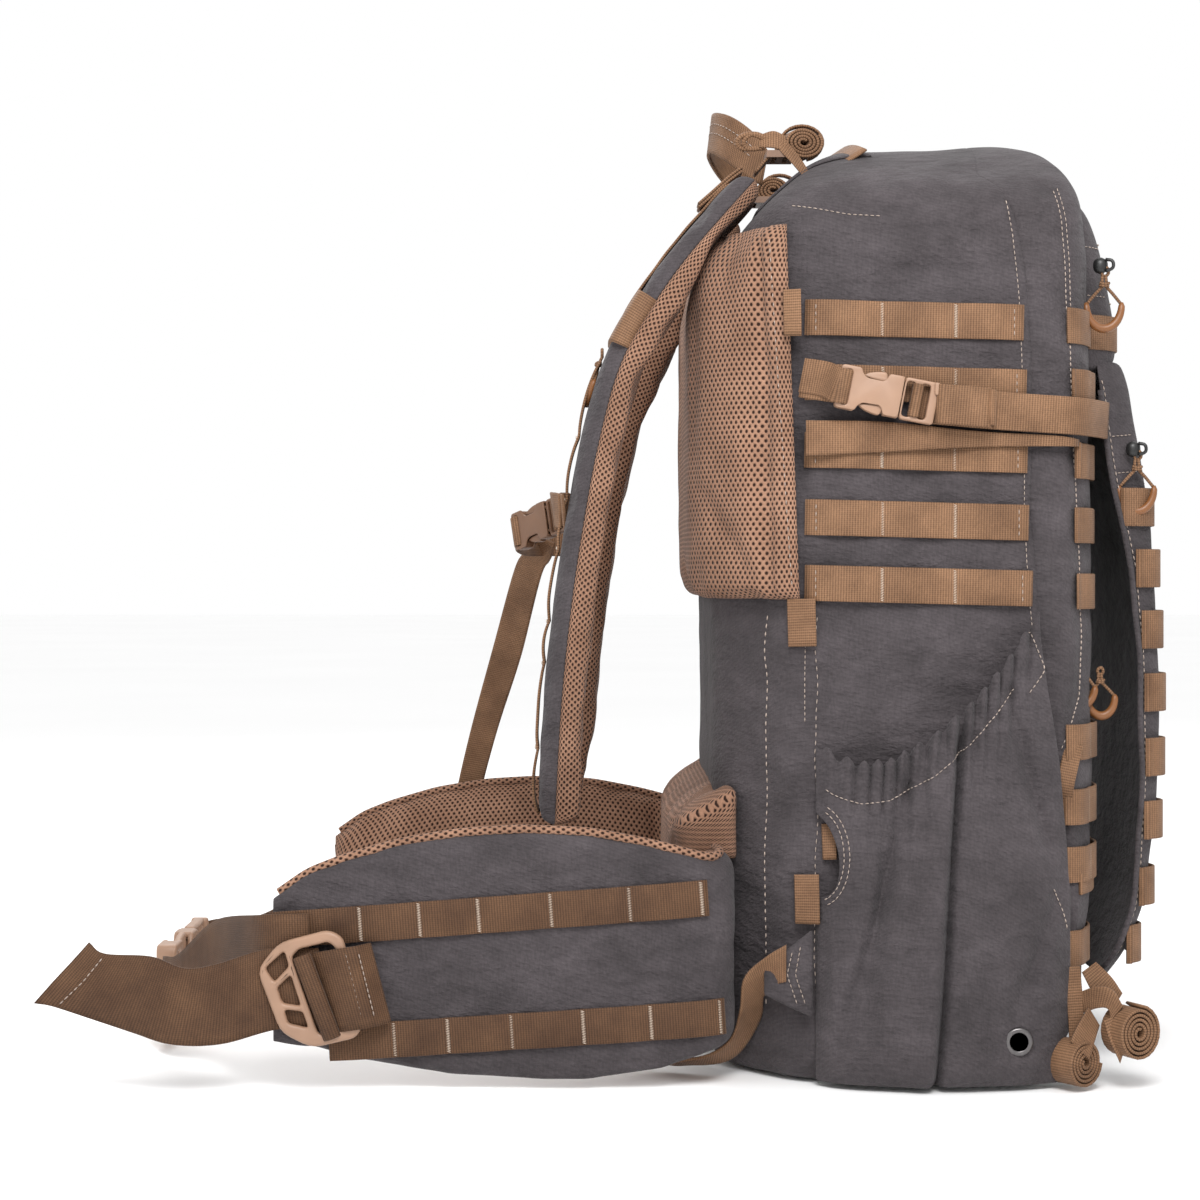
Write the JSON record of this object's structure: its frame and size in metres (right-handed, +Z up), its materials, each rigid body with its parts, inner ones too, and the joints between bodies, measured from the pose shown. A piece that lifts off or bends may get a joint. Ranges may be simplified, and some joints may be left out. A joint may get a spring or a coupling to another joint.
{
  "type": "hunting backpack",
  "caption": "Upright hunting pack: clamshell bag with load flap, webbing rows, side pockets, mesh back pad, shoulder harness and padded hip belt.",
  "frame": {"origin": "on the ground under the middle of the base", "axes": "+X out of the pack's front, away from the wearer; +Y to the wearer's right; +Z up"},
  "size_m": [0.6384, 0.3731, 0.568],
  "materials": {
    "canvas": "matt grey pack cloth",
    "webbing": "ribbed brown webbing",
    "mesh": "tan spacer mesh",
    "plastic": "tan moulded",
    "rubber": "orange brown moulded",
    "zip_metal": "black",
    "grommet": "gun metal",
    "foam": "closed cell foam",
    "board": "black sheet",
    "stay": "brushed",
    "thread": "contrast stitching"
  },
  "bodies": {
    "pack": {"aluminium_stays": "stay", "back_foam": "foam", "belt_core": "canvas", "bottom_strap_rolls": "webbing", "bottom_straps": "webbing", "compression_buckle_females": "plastic", "compression_buckle_males": "plastic", "compression_straps": "webbing", "drain_grommets": "grommet", "edge_tabs": "webbing", "frame_sheet": "board", "load_lifter_buckles": "plastic", "load_lifter_rolls": "webbing", "lower_gussets": "canvas", "lower_strap_webbing": "webbing", "lumbar_pad": "mesh", "main_bag": "canvas", "mesh_back_pad": "mesh", "side_pocket_left": "canvas", "side_pocket_right": "canvas", "side_webbing": "webbing", "strap_yoke": "canvas"},
    "shoulder_harness": {"shoulder_strap_left": "canvas", "shoulder_strap_right": "canvas", "strap_webbing": "webbing", "load_lifter_straps": "webbing", "strap_ladder_locks": "plastic", "sternum_strap": "webbing", "sternum_buckle_female": "plastic", "sternum_buckle_male": "plastic"},
    "belt_wing_left": {"belt_wing_left": "canvas", "wing_webbing_left": "webbing", "belt_ladder_left": "plastic"},
    "belt_wing_right": {"belt_wing_right": "canvas", "wing_webbing_right": "webbing", "belt_ladder_right": "plastic"},
    "belt_front": {"belt_webbing": "webbing", "belt_tail": "webbing", "belt_buckle_female": "plastic", "belt_buckle_male": "plastic"},
    "front_cover": {"front_cover": "canvas", "upper_pocket": "canvas", "cover_webbing": "webbing"},
    "load_flap": {"load_flap": "canvas", "flap_webbing": "webbing", "flap_strap_ends": "webbing"},
    "grab_handle": {"grab_handle": "webbing"},
    "upper_zip_slider": {"upper_zip_slider": "zip_metal"},
    "upper_zip_pull": {"upper_zip_pull": "rubber"},
    "flap_zip_slider": {"flap_zip_slider": "zip_metal"},
    "flap_zip_pull": {"flap_zip_pull": "rubber"},
    "left_buckle_latch_upper": {"left_buckle_latch_upper": "plastic"},
    "left_buckle_latch_lower": {"left_buckle_latch_lower": "plastic"},
    "right_buckle_latch_upper": {"right_buckle_latch_upper": "plastic"},
    "right_buckle_latch_lower": {"right_buckle_latch_lower": "plastic"},
    "sternum_latch_upper": {"sternum_latch_upper": "plastic"},
    "sternum_latch_lower": {"sternum_latch_lower": "plastic"},
    "belt_latch_upper": {"belt_latch_upper": "plastic"},
    "belt_latch_lower": {"belt_latch_lower": "plastic"}
  },
  "joints": [
    {"name": "flap_hinge", "type": "hinge", "parent": "pack", "child": "load_flap", "pos_m": [0.132, 0, 0.048], "axis": [0, 1, 0], "range_deg": [0, 24]},
    {"name": "cover_hinge", "type": "hinge", "parent": "pack", "child": "front_cover", "pos_m": [0.1045, 0, 0.01], "axis": [0, 1, 0], "range_deg": [0, 18]},
    {"name": "harness_swing", "type": "hinge", "parent": "pack", "child": "shoulder_harness", "pos_m": [-0.066, 0, 0.512], "axis": [0, 1, 0], "range_deg": [-3, 10]},
    {"name": "wing_sway_left", "type": "hinge", "parent": "pack", "child": "belt_wing_left", "pos_m": [-0.104, -0.112, 0.075], "axis": [0, 0, 1], "range_deg": [-4, 4]},
    {"name": "wing_sway_right", "type": "hinge", "parent": "pack", "child": "belt_wing_right", "pos_m": [-0.104, 0.112, 0.075], "axis": [0, 0, 1], "range_deg": [-4, 4]},
    {"name": "belt_front_pivot", "type": "hinge", "parent": "belt_wing_left", "child": "belt_front", "pos_m": [-0.339, -0.158, 0.053], "axis": [0, 0, 1], "range_deg": [-3, 3]},
    {"name": "handle_fold", "type": "hinge", "parent": "pack", "child": "grab_handle", "pos_m": [-0.062, 0, 0.514], "axis": [0, 1, 0], "range_deg": [-20, 45]},
    {"name": "upper_zip_slide", "type": "slide", "parent": "front_cover", "child": "upper_zip_slider", "axis": [0, 0, 1], "range_m": [0, 0.035]},
    {"name": "upper_pull_swing", "type": "hinge", "parent": "upper_zip_slider", "child": "upper_zip_pull", "pos_m": [0.127, -0.126, 0.4495], "axis": [0, 1, 0], "range_deg": [-60, 0]},
    {"name": "flap_zip_slide", "type": "slide", "parent": "load_flap", "child": "flap_zip_slider", "axis": [0, 0, -1], "range_m": [0, 0.12]},
    {"name": "flap_pull_swing", "type": "hinge", "parent": "flap_zip_slider", "child": "flap_zip_pull", "pos_m": [0.149, -0.11, 0.3465], "axis": [0, 1, 0], "range_deg": [-60, 0]},
    {"name": "left_buckle_latch_upper_press", "type": "hinge", "parent": "pack", "child": "left_buckle_latch_upper", "pos_m": [0.00889, -0.1615, 0.38771], "axis": [0, 1, 0], "range_deg": [-5, 0], "stiffness_Nm_per_rad": 0.05},
    {"name": "left_buckle_latch_lower_press", "type": "hinge", "parent": "pack", "child": "left_buckle_latch_lower", "pos_m": [0.00623, -0.1615, 0.37405], "axis": [0, 1, 0], "range_deg": [0, 5], "stiffness_Nm_per_rad": 0.05},
    {"name": "right_buckle_latch_upper_press", "type": "hinge", "parent": "pack", "child": "right_buckle_latch_upper", "pos_m": [0.00889, 0.1615, 0.38771], "axis": [0, 1, 0], "range_deg": [-5, 0], "stiffness_Nm_per_rad": 0.05},
    {"name": "right_buckle_latch_lower_press", "type": "hinge", "parent": "pack", "child": "right_buckle_latch_lower", "pos_m": [0.00623, 0.1615, 0.37405], "axis": [0, 1, 0], "range_deg": [0, 5], "stiffness_Nm_per_rad": 0.05},
    {"name": "sternum_latch_upper_press", "type": "hinge", "parent": "shoulder_harness", "child": "sternum_latch_upper", "pos_m": [-0.18894, -0.0344, 0.32353], "axis": [0.788, 0.6157, 0], "range_deg": [-5, 0], "stiffness_Nm_per_rad": 0.05},
    {"name": "sternum_latch_lower_press", "type": "hinge", "parent": "shoulder_harness", "child": "sternum_latch_lower", "pos_m": [-0.18695, -0.03694, 0.31059], "axis": [0.788, 0.6157, 0], "range_deg": [0, 5], "stiffness_Nm_per_rad": 0.05},
    {"name": "belt_latch_upper_press", "type": "hinge", "parent": "belt_front", "child": "belt_latch_upper", "pos_m": [-0.417, 0.033, 0.0494], "axis": [-1, 0, 0], "range_deg": [-5, 0], "stiffness_Nm_per_rad": 0.05},
    {"name": "belt_latch_lower_press", "type": "hinge", "parent": "belt_front", "child": "belt_latch_lower", "pos_m": [-0.417, 0.033, 0.0146], "axis": [-1, 0, 0], "range_deg": [0, 5], "stiffness_Nm_per_rad": 0.05}
  ],
  "couplings": [
    {"joint": "cover_hinge", "follows": "flap_hinge", "ratio": 0.67},
    {"joint": "wing_sway_right", "follows": "wing_sway_left", "ratio": 1},
    {"joint": "belt_front_pivot", "follows": "wing_sway_left", "ratio": -0.7089},
    {"joint": "left_buckle_latch_lower_press", "follows": "left_buckle_latch_upper_press", "ratio": -1},
    {"joint": "right_buckle_latch_lower_press", "follows": "right_buckle_latch_upper_press", "ratio": -1},
    {"joint": "sternum_latch_lower_press", "follows": "sternum_latch_upper_press", "ratio": -1},
    {"joint": "belt_latch_lower_press", "follows": "belt_latch_upper_press", "ratio": -1}
  ]
}
